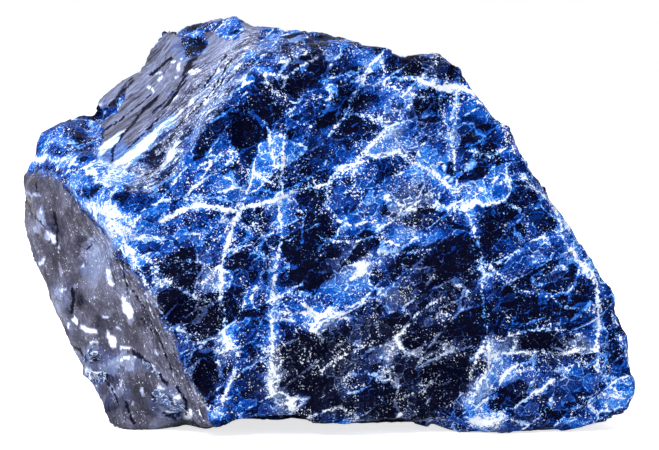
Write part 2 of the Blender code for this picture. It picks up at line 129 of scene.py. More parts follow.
# Patches: (x and y in the picture, half width and half height there, strength, and turn in degrees if any).
# Below zero a patch is darker, down to black; above zero it is paler, up to white.
FRONT_PATCHES = (
    (248, 130, 16, 20, -0.62), (232, 142, 9, 8, -0.45), (292, 86, 12, 15, -0.55), (280, 112, 12, 8, -0.35),
    (358, 97, 28, 17, -0.7, -35), (345, 126, 28, 14, -0.6, 10), (336, 96, 6, 12, -0.15),
    (400, 69, 15, 13, -0.42), (462, 74, 18, 9, -0.3, 40), (434, 66, 11, 8, -0.15),
    (432, 112, 17, 20, -0.34), (484, 146, 27, 24, -0.3, -20), (512, 172, 10, 20, 0.04, -20),
    (460, 152, 9, 13, -0.3), (428, 128, 16, 12, -0.2), (198, 316, 28, 16, -0.55),
    (208, 370, 17, 28, -0.6, -12), (178, 272, 28, 18, -0.42, -25), (215, 290, 12, 12, -0.35),
    (248, 264, 21, 17, -0.15), (250, 305, 18, 18, -0.1), (255, 372, 16, 16, -0.08),
    (308, 262, 20, 28, -0.36, 20), (310, 350, 24, 34, -0.16), (320, 395, 24, 22, -0.19),
    (350, 250, 30, 8, -0.25, -10), (392, 180, 12, 22, -0.22, 30), (392, 212, 10, 18, -0.3, 40),
    (435, 285, 36, 34, -0.34, -35), (462, 262, 14, 22, -0.4), (425, 330, 36, 16, -0.32, -10),
    (430, 388, 40, 18, -0.26, -25), (395, 372, 14, 30, -0.05, 20), (500, 208, 15, 20, -0.45),
    (520, 200, 12, 10, -0.25, 30), (540, 278, 42, 20, -0.24, 5), (534, 314, 40, 14, -0.16),
    (490, 300, 5, 44, 0.16), (480, 318, 9, 20, -0.35), (543, 343, 46, 8, -0.62, 3),
    (575, 310, 18, 18, -0.25), (612, 335, 12, 40, -0.14, -12), (508, 398, 16, 10, -0.3),
    (560, 398, 18, 14, -0.2), (520, 420, 24, 8, -0.1), (262, 95, 10, 14, -0.1), (268, 160, 8, 16, -0.05),
    (225, 168, 12, 10, -0.12), (205, 185, 16, 10, -0.1, -30), (174, 186, 10, 8, -0.1),
    (116, 224, 20, 19, 0.55, 25), (108, 204, 13, 9, 0.3), (142, 236, 14, 12, 0.22, -20),
    (160, 205, 14, 8, 0.25, -25), (128, 255, 10, 8, 0.25, 20), (300, 74, 28, 26, -0.42),
    (304, 116, 18, 12, -0.25), (284, 98, 12, 10, -0.2), (322, 104, 20, 14, -0.2), (262, 100, 12, 14, -0.12),
    (182, 240, 26, 12, 0.1, -20), (197, 203, 10, 7, 0.35), (262, 201, 26, 8, 0.3),
    (258, 230, 24, 18, -0.08), (282, 215, 8, 26, 0.12), (272, 382, 9, 12, 0.35), (288, 404, 18, 13, 0.26),
    (226, 345, 12, 20, 0.35), (222, 300, 6, 44, 0.22), (232, 226, 10, 20, 0.12, 20),
    (222, 395, 8, 26, 0.22), (250, 330, 14, 24, -0.12), (246, 262, 18, 18, -0.12), (275, 300, 5, 96, 0.16),
    (214, 412, 12, 8, 0.3), (270, 330, 7, 40, 0.15), (310, 322, 26, 7, 0.28, 8), (340, 318, 16, 5, 0.2),
    (350, 284, 24, 12, 0.12, -30), (366, 58, 16, 10, 0.34, 15), (388, 100, 18, 20, 0.22, -30),
    (392, 132, 24, 12, 0.14, -35), (362, 150, 30, 12, 0.08, -30), (354, 184, 27, 30, 0.08, -25),
    (340, 205, 14, 14, 0.16), (428, 166, 20, 14, 0.21, 35), (402, 150, 12, 10, 0.08),
    (412, 204, 17, 20, 0.02, 20), (400, 232, 26, 10, 0.35, 12), (428, 238, 16, 8, 0.2),
    (372, 262, 36, 9, 0.2, -42), (350, 262, 30, 14, 0.16, -20), (448, 88, 24, 5, 0.36, 10),
    (478, 102, 16, 12, 0.16, 45), (500, 124, 10, 16, 0.08, 35), (452, 130, 7, 34, 0.12),
    (462, 185, 14, 30, 0.12), (474, 228, 9, 30, 0.2, -8), (482, 275, 16, 18, 0.12),
    (490, 350, 14, 12, 0.35), (478, 396, 14, 28, 0.3, 8), (486, 422, 16, 8, 0.4), (500, 372, 16, 12, 0.2),
    (550, 380, 46, 24, 0.13), (578, 250, 10, 34, 0.3, -30), (536, 222, 20, 12, 0.14, 45),
    (598, 330, 8, 38, 0.1), (600, 372, 14, 20, 0.06), (620, 400, 16, 10, 0.18), (560, 422, 40, 6, 0.14),
    (360, 418, 40, 8, 0.16), (515, 345, 10, 12, 0.14), (438, 320, 14, 9, 0.22, -20),
    (392, 350, 8, 24, 0.2, 25), (246, 290, 24, 40, 0.06), (296, 48, 30, 6, 0.06, 8),
    (284, 56, 20, 4, 0.22, -15), (262, 71, 9, 6, 0.4), (250, 84, 9, 12, 0.15, 30), (262, 150, 24, 30, 0.08),
    (240, 170, 26, 18, 0.1, -30),
)
KNOB_PATCHES = (
    (194, 34, 8, 3, 0.5, -8), (199, 52, 7, 2, 0.55, -28), (197, 46, 12, 7, -0.42, -12),
    (192, 26, 8, 3, -0.25), (184, 40, 4, 12, 0.1, -10), (224, 28, 13, 10, 0.14), (75, 165, 48, 46, 0.12),
    (76, 128, 14, 7, -0.1), (82, 141, 12, 10, -0.2), (70, 133, 10, 5, -0.15, 10), (91, 125, 3, 6, 0.42),
    (62, 140, 10, 6, 0.22), (48, 146, 6, 10, 0.22, 20), (35, 152, 5, 7, -0.1, 30),
    (58, 160, 26, 3.5, 0.36, 2), (38, 160, 12, 5, 0.3), (63, 153, 7, 3, -0.3), (54, 172, 7, 3, -0.25),
    (82, 176, 16, 13, 0.18, 20), (70, 190, 9, 10, 0.16, 40), (95, 189, 11, 5, -0.5, -35),
    (116, 180, 13, 15, 0.36, 30), (106, 162, 12, 5, 0.34), (90, 206, 10, 7, 0.25, 30),
    (100, 172, 10, 6, 0.22),
)
# Tone of the top-left face's painted sheen.
TOP_PATCHES = (
    (150, 160, 11, 9, -0.52, -45), (166, 171, 13, 5, -0.52, -48), (185, 136, 10, 5, -0.4, -52),
    (166, 135, 9, 8, -0.22, -40), (142, 184, 10, 3, -0.35, -48), (191, 63, 9, 4, -0.4, -45),
    (97, 131, 3, 14, -0.45), (104, 112, 10, 5, -0.55, -42), (117, 98, 10, 3, -0.45, -50),
    (128, 84, 8, 1.5, -0.25, -55), (155, 136, 32, 4.5, 0.36, -43), (140, 148, 24, 6, 0.26, -40),
    (110, 143, 20, 4, 0.4, -42), (124, 161, 16, 6, 0.36, -30), (172, 152, 13, 3.5, 0.36, -52),
    (183, 156, 4, 5, 0.4, -50), (228, 58, 18, 10, 0.06, -50), (210, 88, 24, 5, 0.08, -50),
    (142, 104, 26, 12, -0.04, -42), (148, 50, 18, 7, -0.04, -50),
)
TOP_CHIPS = (
    (160, 78, 3.8, 1.2, 0.6, -28), (151, 89, 4.5, 1.1, 0.6, 40), (174, 61, 3.2, 1.1, 0.5, -15),
    (182, 58, 2.2, 1.0, 0.5, -20), (180, 67, 1.4, 4.5, 0.42), (191, 73, 4.0, 1.5, 0.6),
    (175, 97, 4.5, 1.3, 0.55, -50), (190, 103, 5.0, 1.5, 0.55, -48), (205, 101, 4.5, 3.0, 0.55, -45),
    (198, 70, 2.5, 1.2, 0.5, -20), (177, 77, 2.0, 1.2, 0.5), (210, 93, 3.0, 1.2, 0.5, -45),
    (134, 73, 6, 1.1, 0.4, -8), (160, 72, 8, 0.8, 0.3, -5), (117, 104, 3, 1.3, 0.35, -40),
    (98, 106, 5, 1.5, 0.35, -35), (262, 71, 7, 4.5, 0.55), (218, 70, 2.5, 1.2, 0.5, -45),
    (228, 62, 2.5, 1.0, 0.5, -45), (222, 82, 2.8, 1.1, 0.5, -50), (236, 66, 2.6, 1.2, 0.5, -40),
    (206, 84, 2.2, 1.0, 0.45, -45), (246, 48, 3.0, 1.1, 0.45, -50), (186, 118, 4.0, 1.2, 0.5, -48),
)
# Tone of the left face's painted sheen; the pale streak on the raised lens at (47, 224) is a painted
# highlight.
LEFT_PATCHES = (
    (47, 224, 5, 21, 0.26, -22), (54, 240, 3, 7, 0.16, -22), (36, 184, 13, 9, -0.04),
    (75, 226, 15, 20, -0.1, -20), (96, 262, 15, 25, 0.14, 12), (86, 250, 4, 14, 0.08, 15),
    (66, 296, 9, 10, 0.15), (76, 306, 4, 12, -0.12, -10), (64, 268, 12, 22, -0.07, -22),
    (42, 246, 8, 16, -0.06, -20), (120, 400, 18, 14, -0.08, -20), (120, 378, 16, 5, -0.16),
    (150, 330, 8, 26, -0.06, -25), (82, 300, 4, 12, -0.1), (100, 322, 12, 6, -0.08),
    (120, 362, 19, 5, 0.24, -10), (93, 354, 8, 8, 0.14), (172, 408, 8, 13, 0.18, -20),
    (100, 376, 8, 10, 0.12, -10), (150, 424, 22, 4, 0.1, -4), (112, 393, 5, 12, 0.16, -25),
    (136, 300, 10, 18, 0.05, -25), (60, 330, 6, 12, -0.08, -20), (150, 385, 10, 14, -0.08, -25),
)
LEFT_CHIPS = (
    (32, 194, 11, 1.2, 0.26, 12), (54, 238, 2, 7, 0.22, -22), (45, 212, 2, 8, 0.12, -20),
    (90, 240, 1.2, 8, 0.2, 25), (109, 279, 4, 9, 0.32, -15), (128, 309, 6, 8, 0.44, -25),
    (130, 318, 4, 4, 0.2), (123, 300, 2.5, 4, 0.3, -20), (90, 330, 8, 4, 0.46, 22),
    (83, 326, 4, 3, 0.3, 10), (112, 343, 4.0, 6.0, 0.46, -12), (107, 337, 2, 3, 0.4),
    (125, 348, 7, 2.2, 0.46, -6), (75, 320, 1.8, 4, 0.46, -10), (105, 318, 2.5, 2, 0.45),
    (70, 328, 1.4, 5, 0.38), (41, 260, 2.0, 4, 0.34, 25), (112, 392, 2, 9, 0.24, -25),
    (142, 391, 1.8, 5, 0.42, -15), (188, 414, 4.0, 5, 0.42, -25), (130, 358, 9, 1.2, 0.35, -10),
    (60, 268, 1.6, 7, 0.22, -10), (64, 290, 3, 2, 0.3), (94, 343, 5, 1.5, 0.35), (88, 372, 3, 5, 0.25, -30),
    (60, 248, 1.5, 2, 0.35), (82, 266, 1.4, 2, 0.35), (118, 330, 2, 1.5, 0.35), (96, 298, 1.5, 2, 0.35),
    (156, 352, 1.2, 4, 0.3, -28), (146, 296, 1.2, 5, 0.35, -28), (152, 310, 1.2, 4, 0.3, -28),
    (120, 384, 1.5, 5, 0.3, 30), (178, 398, 4, 2, 0.3, 20), (160, 388, 3, 3, 0.3), (133, 402, 1.4, 3, 0.3),
)
# Where the painted sheen of the top-left and left faces is tinged with blue.
TINGED = (
    (150, 140, 40, 11, 1.0, -42), (112, 150, 16, 12, 1.0, -30), (140, 160, 12, 6, 0.6, -45),
    (190, 44, 20, 16, 0.8), (150, 40, 12, 10, 0.5, -40), (205, 96, 8, 10, 0.5, -45), (104, 110, 10, 8, 0.6),
    (95, 258, 18, 24, 0.8, 12), (96, 362, 22, 18, 0.9), (112, 392, 22, 24, 0.7, -20),
    (165, 402, 18, 18, 0.9, -20), (62, 296, 14, 18, 0.7), (48, 224, 7, 24, 0.7, -20),
    (130, 362, 20, 10, 0.7), (28, 192, 12, 5, 0.6, 10), (122, 282, 8, 20, 0.5, -20), (70, 330, 8, 16, 0.5),
)
# Spots where the painted sheen of the top-left and left faces gives way, with the blue rock showing; strength
# is how far, in mm.
SHEEN_GAPS = (
    (228, 28, 17, 10, 4.0, -15), (192, 38, 15, 17, 4.0, -25), (206, 24, 12, 6, 3.0),
    (104, 112, 11, 6, 3.2, -42), (118, 97, 11, 3.5, 2.8, -50), (97, 131, 4, 13, 2.8),
    (186, 138, 9, 5, 0.8, -52), (252, 60, 8, 8, 2.8), (240, 70, 10, 6, 0.8, -40),
    (226, 88, 10, 5, 0.7, -50), (47, 226, 5, 20, 0.9, -22), (93, 356, 7, 8, 3.2),
    (116, 362, 16, 6, 1.2, -8), (97, 377, 10, 6, 4.0, 10), (159, 397, 8, 7, 4.0, 30),
    (173, 408, 7, 12, 2.8, -20), (68, 304, 5, 9, 1.2, -10), (112, 394, 3.5, 11, 0.9, -25),
    (150, 368, 16, 4, 2.6, 42),
)
# Where the dark rock is granular grey rather than blue.
GREY_PATCHES = (
    (305, 380, 50, 38, 1.0), (345, 345, 60, 26, 0.8, -10), (425, 300, 56, 44, 0.7, -35),
    (430, 380, 60, 38, 0.9, -20), (545, 345, 60, 12, 0.8, 3), (540, 388, 50, 22, 0.3, -8),
    (540, 270, 44, 26, 0.15), (190, 290, 40, 40, 0.6, -30), (412, 204, 24, 26, 0.7, 20),
    (345, 262, 40, 18, 0.5, -20), (280, 88, 24, 18, 0.4), (430, 66, 40, 14, 0.6, 10),
    (300, 54, 40, 14, 0.6, 10), (370, 412, 60, 12, 0.6), (510, 425, 50, 8, 0.6),
    (208, 360, 24, 50, 0.5, -12), (97, 366, 16, 18, 1.0), (165, 400, 18, 20, 1.0), (118, 362, 20, 8, 1.0),
    (150, 368, 16, 8, 1.0, 42), (50, 224, 10, 24, 1.0), (70, 300, 12, 14, 1.0), (112, 394, 8, 14, 1.0, -25),
    (400, 125, 40, 30, 0.3, -20),
)
# Places that stand out from the faces or sink into them; strength is how far, in mm.
RAISED = (
    (48, 220, 8, 22, 0.4, -22), (65, 300, 9, 14, 0.45), (116, 362, 18, 6, 0.5, -8),
    (97, 254, 16, 26, -0.3, 12), (128, 310, 8, 11, 0.18, -25), (172, 408, 8, 14, 0.5, -20),
    (92, 355, 8, 8, 0.4), (36, 184, 14, 10, 0.3), (152, 160, 14, 11, -0.35, -45),
    (167, 171, 14, 6, -0.35, -48), (155, 136, 34, 6, 0.25, -43), (197, 46, 14, 8, -0.3, -12),
    (104, 112, 12, 6, -0.7, -42), (118, 97, 12, 4, -0.5, -50), (248, 130, 14, 18, -0.35),
    (292, 86, 9, 12, -0.35), (362, 97, 22, 12, -0.35, -35), (352, 185, 28, 26, 0.35, -30),
    (412, 204, 17, 20, 0.3, 20), (248, 264, 20, 16, 0.35), (543, 345, 46, 6, -0.35, 3),
    (484, 138, 24, 15, 0.2, -25), (396, 68, 13, 12, 0.25), (198, 316, 26, 15, -0.3),
    (430, 388, 36, 16, -0.25, -25), (478, 400, 14, 26, 0.3, 8),
)

# Vein sheets that run on through the stone: (direction across the sheet, distance from the middle in mm,
# half width in mm).
SHEETS = (
    ((1.0, 0.1, 0.06), -7.5, 0.3), ((0.96, -0.25, 0.12), -19.0, 0.22), ((0.97, 0.2, -0.14), 19.5, 0.26),
    ((0.3, 0.1, 0.95), 28.0, 0.28), ((-0.42, 0.28, 0.86), 17.0, 0.16), ((0.55, 0.2, 0.81), 41.0, 0.2),
    ((0.62, -0.12, 0.77), 6.0, 0.14), ((0.86, 0.3, 0.42), 34.0, 0.2),
)
# Thin dark cracks in the painted sheen of the top-left and left faces, given as the veins are.
CRACKS = (
    (0.13, ((112, 160), (114, 147), (121, 137), (135, 119), (143, 109), (158, 96))),
    (0.05, ((104, 130), (120, 119), (135, 107), (150, 94)), ((176, 128), (196, 108), (216, 82), (232, 58)),
     ((214, 98), (228, 80), (246, 58)), ((141, 318), (158, 338), (172, 372)),
     ((132, 290), (146, 312), (160, 340)), ((36, 176), (38, 192))),
    (0.09, ((147, 130), (155, 122), (166, 111))),
    (0.22, ((155, 111), (165, 104), (173, 95), (181, 83), (185, 77))),
    (0.12, ((150, 74), (160, 67), (171, 58)), ((64, 186), (80, 206), (96, 226)),
     ((64, 342), (80, 350), (92, 364))),
    (0.06, ((127, 148), (140, 137), (152, 130)), ((190, 122), (206, 100), (226, 74)),
     ((200, 90), (214, 72), (226, 52)), ((76, 243), (84, 250), (90, 246))),
    (0.1, ((24, 197), (33, 214), (46, 226)), ((57, 246), (58, 228), (54, 212)),
     ((100, 372), (108, 384), (118, 404))),
    (0.08, ((72, 192), (88, 212), (104, 238))),
    (0.16, ((72, 290), (75, 300), (72, 312))),
    (0.2, ((133, 352), (146, 362), (155, 370), (167, 384))),
    (0.14, ((126, 402), (130, 412), (134, 424)), ((176, 386), (184, 400), (186, 414))),
    (0.07, ((116, 250), (124, 276), (128, 296))),
)
# Ridges between the faces: points in the picture.
TOP_RIDGE = (
    (262, 70), (240, 88), (222, 104), (212, 120), (198, 140), (172, 166), (140, 190),
)
LEFT_RIDGE = (
    (88, 206), (110, 241), (120, 262), (150, 292), (162, 318), (177, 350), (194, 382), (214, 430),
)

# Directions: the front's cleavage rises to the right, the top-left face's plates run along its front edge,
# and the left face's stripes run along the ridge between it and the front.
CLEAVAGE_TURN = math.radians(33.0)
PLATE_ALONG = Vector((0.735, 0.065, 0.674)).normalized()
PLATE_ACROSS = Vector((-0.14, 0.90, 0.41)).normalized()
PLATE_OUT = PLATE_ALONG.cross(PLATE_ACROSS).normalized()
RIDGE_ALONG = Vector((0.447, -0.09, -0.89)).normalized()
RIDGE_OUT = Vector((-0.75, -0.64, -0.12)).normalized()
RIDGE_ACROSS = RIDGE_OUT.cross(RIDGE_ALONG).normalized()
STRIPE_STRETCH = 0.14
CLEAVAGE_STRETCH = 0.42

# Distances in mm: half the fade at the edge of each painted sheen, how far outside and inside its outline a
# painted sheen is followed, how far the top-left face's painted sheen drops away where it isn't seen, how far
# veins and cracks are followed, and the reach of the ridges and cracks.
FADE_MM = 0.6
SHEEN_RANGE_MM = (-3.0, 2.0)
SHEEN_DROP_MM = 6.0
LINE_REACH_MM = 3.0
FAR_MM = 9.0
TOP_RIM_MM = 7.0
LEFT_RIM_MM = 4.0
CRACK_REACH_MM = 0.3
CRACK_DEPTH = 0.00016

# Markings end at the borders of grains, chips and plates of these sizes.
GRAIN = 0.0032
GRAIN_STRETCH = 1.7
GRAIN_SNAP = 0.8
LEFT_CHIP = 0.0016
PLATE_ROW = 0.0005
PLATE_SLIDE = 0.0011
FLAKE_STRENGTH = 1.3
# Sideways shifts of the markings: (size in metres, reach in pixels).
WANDER = ((0.0032, 5.0), (0.0012, 3.4), (0.0005, 1.8))

# How far the surface faces the camera, from -1 to 1, where it starts to count as seen, the fade from there to
# fully seen, and where its faces are split.
SEEN_FROM = -0.12
SEEN_FADE = 0.2
SPLIT_FROM = 0.02

# Cloudy patterns of the sides out of view: (size in metres, seed, strength) of each layer, and a shift.
# The first of these spreads patches of the left face's painted sheen over the sides out of view.
SHEEN_SPREAD = ((0.017, 4.0, 4.0), (0.0036, 6.0, 2.4)), -4.2
CLOUDED = ((0.012, 1.0, 0.34), (0.0055, 2.0, 0.24)), -0.06
DULLED = ((0.010, 3.0, 0.7),), 0.2

# Fine relief: slopes of the blocks, chips and plates, and the plates' length in widths.
BLOCK_SLOPE = 0.10
CHIP_SLOPE = 0.12
CHIPPED_SIZE = 0.009
PLATE_SLOPE = 0.7
PLATE_LENGTH = 7.0
PLATE_WANDER = 0.8

# Sizes of the blue rock's patterns, in mm.
COARSE_GRAIN = 3.0
FINE_GRAIN = 1.25
STREAK = 0.34
GRIT = 0.24
SPECKLE = 0.5
FLECK_AND_GLINT = 0.26
DUST = 0.14
# Tone of the blue rock's grains: in the middle, and the darkest and palest.
MIDDLE_TONE = 0.333
DARKEST_TONE = 0.02
PALEST_TONE = 0.62
# How far each kind of pale mark lightens the blue rock; the fleck marks are partly white flecks of the rock
# and partly painted glints.
MARKS = {"web": 0.44, "thread": 0.33, "halo": 0.09, "fleck_and_glint": 0.74, "dust": 0.25, "snow": 0.50, "vein": 0.80}
TOP_TONE = 0.48
LEFT_TONE = 0.34

STONE_IOR = 1.48
STONE_SPECULAR = 0.032
TOP_ROUGHNESS = 0.42
GRAIN_BUMP = 0.00016

# The stage: half width of the floor, its glow, and the surround's brightest side, least and most light.
FLOOR_HALF = 3.0
FLOOR_GLOW = 0.80
BRIGHT_SIDE = (-0.55, 0.45, 0.70)
LEAST_LIGHT = 0.08
MOST_LIGHT = 0.75
# Soft lights: (name, place, size); the powers are the stage's settings of the same names.
LIGHTS = (
    ("key", (-0.30, -0.32, 0.42), 0.25), ("fill", (0.36, -0.42, 0.16), 0.30),
    ("top", (-0.12, 0.25, 0.45), 0.30),
)


def length_property(name, description, default):
    return bpy.props.FloatProperty(
        name=name, description=description, default=default, unit="LENGTH", precision=5)


def power_property(name, description, default):
    return bpy.props.FloatProperty(name=name, description=description, default=default, unit="POWER", min=0.0)


def colour_property(name, description, default):
    return bpy.props.FloatVectorProperty(
        name=name, description=description, default=default, size=3, subtype="COLOR", min=0.0, max=1.0)


class SodaliteShape(bpy.types.PropertyGroup):
    """Sizes of the stone's fine relief."""

    skin_step: length_property(
        "Skin step", "Spacing of the surface's points before the sides in view are split", 0.00062)
    block: length_property("Small blocks", "Size of the front's small cleavage blocks", 0.0031)
    block_level: length_property("Small block step", "How far the small blocks stand apart", 0.00016)
    chip: length_property("Chips", "Size of the chips on the blocks", 0.0014)
    chip_level: length_property("Chip step", "How far the chips stand apart", 0.00008)
    plate: length_property("Fine plates", "Width of the fine plates of the top-left face", 0.0012)
    plate_level: length_property("Fine plate step", "How far the fine plates stand apart", 0.00013)
    wave: length_property("Waves", "Size of the soft waves of the left face", 0.0026)
    wave_height: length_property("Wave height", "Height of the soft waves", 0.00012)


class SodaliteColours(bpy.types.PropertyGroup):
    """Colours of the rock, and the painted sheen of its top-left and left faces."""

    black: colour_property("Black", "Deepest grains", (0.0004, 0.0007, 0.0100))
    navy: colour_property("Navy", "Dark blue grains", (0.0010, 0.0080, 0.070))
    royal: colour_property("Royal blue", "Full blue grains", (0.0015, 0.045, 0.37))
    bright: colour_property("Bright blue", "Clear blue patches", (0.004, 0.160, 0.72))
    pale: colour_property("Pale blue", "Milky blue haze", (0.14, 0.44, 0.92))
    white: colour_property("White", "Veins and flecks", (0.90, 0.94, 1.0))
    slate: colour_property("Slate", "Dark grey grains", (0.008, 0.012, 0.038))
    ash: colour_property("Ash", "Pale grey grains", (0.12, 0.16, 0.28))
    # Top and left colours: painted sheen standing in for the glossy reflection off the near-black rock of
    # those faces.
    top_sheen_grey: colour_property("Top grey", "Grey of the top-left face", (0.125, 0.130, 0.200))
    top_brown: colour_property("Top brown", "Brown patches of the top-left face", (0.020, 0.022, 0.042))
    top_dark: colour_property("Top dark", "Cracks of the top-left face", (0.004, 0.005, 0.018))
    top_sheen_pale: colour_property("Top pale", "Lavender streaks of the top-left face", (0.30, 0.36, 0.62))
    top_blue: colour_property("Top blue", "Blue tinge near the front ridge", (0.09, 0.13, 0.38))
    left_sheen_brown: colour_property("Left brown", "Taupe of the left face", (0.065, 0.063, 0.095))
    left_sheen_grey: colour_property("Left grey", "Lighter grey of the left face", (0.21, 0.22, 0.33))
    left_haze: colour_property("Left haze", "Pale slate blue of the left face", (0.22, 0.28, 0.48))
    left_blue: colour_property("Left blue", "Bluish grey of the left face", (0.075, 0.090, 0.20))


class SodaliteStage(bpy.types.PropertyGroup):
    """Floor, lights and camera."""

    floor: colour_property("Floor", "Colour of the floor", (0.93, 0.93, 0.94))
    surround: colour_property("Surround", "Colour behind the stone", (1.0, 1.0, 1.0))
    key: power_property("Key light", "Power of the soft light from the upper left", 2.6)
    fill: power_property("Fill light", "Power of the soft light from the front right", 0.7)
    top: power_property("Top light", "Power of the soft light from above", 1.2)


def camera_place():
    tilt = math.radians(VIEW_ELEVATION)
    return VIEW_CENTRE + Vector((0.0, -math.cos(tilt), math.sin(tilt))) * VIEW_DISTANCE


def front_view(points):
    """Where points of the stone, in metres, are seen in the picture, in its pixels."""
    tilt = math.radians(VIEW_ELEVATION)
    away = np.array((0.0, math.cos(tilt), -math.sin(tilt)))
    upward = np.array((0.0, math.sin(tilt), math.cos(tilt)))
    offset = points - np.array(VIEW_CENTRE)
    depth = VIEW_DISTANCE + offset @ away
    scale = VIEW_LENS / VIEW_SENSOR * PICTURE_WIDTH / depth
    across = PICTURE_WIDTH / 2.0 + offset[:, 0] * scale
    down = PICTURE_HEIGHT / 2.0 - (offset @ upward) * scale
    return np.column_stack((across, down))


def pixel_mm():
    """Size of one pixel at the middle of the picture, in millimetres."""
    return VIEW_DISTANCE * VIEW_SENSOR / VIEW_LENS / PICTURE_WIDTH / MM


def segment_distance(seen, start, end):
    """Distance in pixels from each seen point to a segment."""
    run = np.subtract(end, start).astype(float)
    share = np.clip(((seen - start) @ run) / (run @ run), 0.0, 1.0)
    return np.linalg.norm(seen - (np.asarray(start) + share[:, None] * run), axis=1)


def outline_field(seen, outline):
    """Distance in mm to an outline's edge, above zero inside it."""
    inside = np.zeros(len(seen), dtype=bool)
    distance = np.full(len(seen), 1e3)
    for start, end in zip(outline, outline[1:] + outline[:1]):
        distance = np.minimum(distance, segment_distance(seen, start, end))
        (x0, y0), (x1, y1) = start, end
        if y0 == y1:
            continue
        crosses = (seen[:, 1] < y0) != (seen[:, 1] < y1)
        reached = x0 + (seen[:, 1] - y0) / (y1 - y0) * (x1 - x0)
        inside ^= crosses & (seen[:, 0] < reached)
    return np.where(inside, distance, -distance) * pixel_mm()


def patch_field(seen, patches, soft):
    """Sum of the patches' strengths, each full inside and fading out across its rim."""
    field = np.zeros(len(seen))
    for x, y, half_x, half_y, strength, *turn in patches:
        angle = math.radians(turn[0] if turn else 0.0)
        offset = seen - (x, y)
        along = offset[:, 0] * math.cos(angle) + offset[:, 1] * math.sin(angle)
        across = offset[:, 1] * math.cos(angle) - offset[:, 0] * math.sin(angle)
        reach = np.hypot(along / half_x, across / half_y)
        share = np.clip((1.0 + soft - reach) / (2.0 * soft), 0.0, 1.0)
        field += strength * share * share * (3.0 - 2.0 * share)
    return field


def line_field(seen, lines):
    """Distance in mm to the nearest line's edge, below zero inside a line."""
    field = np.full(len(seen), FAR_MM)
    for half_width, *same_width in lines:
        for points in same_width:
            for start, end in zip(points, points[1:]):
                field = np.minimum(field, segment_distance(seen, start, end) * pixel_mm() - half_width)
    return field


def ridge_field(seen, points, reach):
    """1 on a ridge, falling to 0 at the given distance in mm."""
    return np.clip(1.0 - line_field(seen, ((0.0, points),)) / reach, 0.0, 1.0)


def sheet_field(places):
    """Distance in mm to the nearest vein sheet's edge; the sheets wave a little."""
    field = np.full(len(places), FAR_MM)
    for across, distance, half_width in SHEETS:
        across = Vector(across).normalized()
        for index, place in enumerate(places):
            at = Vector(place)
            wave = noise.noise(at / 0.011 + across * 7.0) * 3.0 + noise.noise(at / 0.003) * 0.5
            reach = abs(at.dot(across) / MM - distance + wave) - half_width
            field[index] = min(field[index], reach)
    return field


def cloud_field(places, layers, shift):
    """Cloudy field: layers of patches of several sizes, each with its own seed and strength."""
    field = 0.0
    for size, seed, strength in layers:
        start = Vector((seed, 2.7 * seed, -1.3 * seed))
        patches = np.array([noise.noise(Vector(place) / size + start) for place in places]) * 1.6
        field = field + patches * strength
    return field + shift


def grain_centres(places, size):
    """Each place moved most of the way to the middle of its grain, so that patches end at grain borders."""
    moved = np.empty_like(places)
    turn = Matrix.Rotation(CLEAVAGE_TURN, 3, "Y")
    back = turn.inverted()
    for index, place in enumerate(places):
        at = turn @ Vector(place) / size
        at.x /= GRAIN_STRETCH
        centre = noise.voronoi(at)[1][0]
        at += (centre - at) * GRAIN_SNAP
        at.x *= GRAIN_STRETCH
        moved[index] = back @ (at * size)
    return moved


def plate_shifted(places):
    """Each place slid along the plates by its plate's own amount, so that patches end in ragged streaks."""
    moved = np.empty_like(places)
    for index, place in enumerate(places):
        row = math.floor(Vector(place).dot(PLATE_ACROSS) / PLATE_ROW)
        slide = noise.cell(Vector((row * 2.3, 4.5, 9.5))) * PLATE_SLIDE
        moved[index] = place + slide * np.array(PLATE_ALONG)
    return moved


def wandering(places):
    """Sideways shifts in pixels, large and small, which keep patches from being round."""
    shift = np.zeros((len(places), 2))
    for size, reach in WANDER:
        for index, place in enumerate(places):
            at = Vector(place) / size
            shift[index, 0] += noise.noise(at) * reach
            shift[index, 1] += noise.noise(at + Vector((31.0, 7.0, 3.0))) * reach
    return shift


def smooth(low, high, value):
    """Eases from 0 at low to 1 at high."""
    share = min(max((value - low) / (high - low), 0.0), 1.0)
    return share * share * (3.0 - 2.0 * share)


def blocks(place, size, level, slope):
    """Height of rock broken into blocks: each has its own level and its own slope."""
    at = place / size
    centre = noise.voronoi(at)[1][0]
    lean = noise.cell_vector(centre * 31.7) * 2.0 - Vector((1.0, 1.0, 1.0))
    return noise.cell(centre * 17.3) * level + (at - centre).dot(lean) * slope * size


def blue_relief(place, shape):
    """Fine relief of the blue rock: cleavage blocks, and chips that are deeper in places."""
    turned = Matrix.Rotation(CLEAVAGE_TURN, 3, "Y") @ place
    turned.x /= GRAIN_STRETCH
    broken = 0.35 + 0.65 * smooth(-0.2, 0.25, noise.noise(place / CHIPPED_SIZE))
    height = blocks(turned, shape.block, shape.block_level, BLOCK_SLOPE)
    return height + blocks(turned, shape.chip, shape.chip_level, CHIP_SLOPE) * broken


def plate_relief(place, shape):
    """Fine relief of the top-left face: narrow plates that step up and end along their length."""
    along = place.dot(PLATE_ALONG)
    across = place.dot(PLATE_ACROSS)
    row = across / shape.plate + noise.noise(Vector((along * 160.0, across * 120.0, 3.0))) * PLATE_WANDER
    index = math.floor(row)
    start = noise.cell(Vector((index * 3.7, 1.5, 8.5)))
    piece = math.floor(along / (shape.plate * PLATE_LENGTH) + start * 2.0)
    level = noise.cell(Vector((index * 1.9, piece * 2.3, 5.5)))
    return level * shape.plate_level + (row - index - 0.5) * shape.plate_level * PLATE_SLOPE


def wave_relief(place, shape):
    """Fine relief of the left face: soft greasy waves."""
    return noise.noise(place / shape.wave) * shape.wave_height


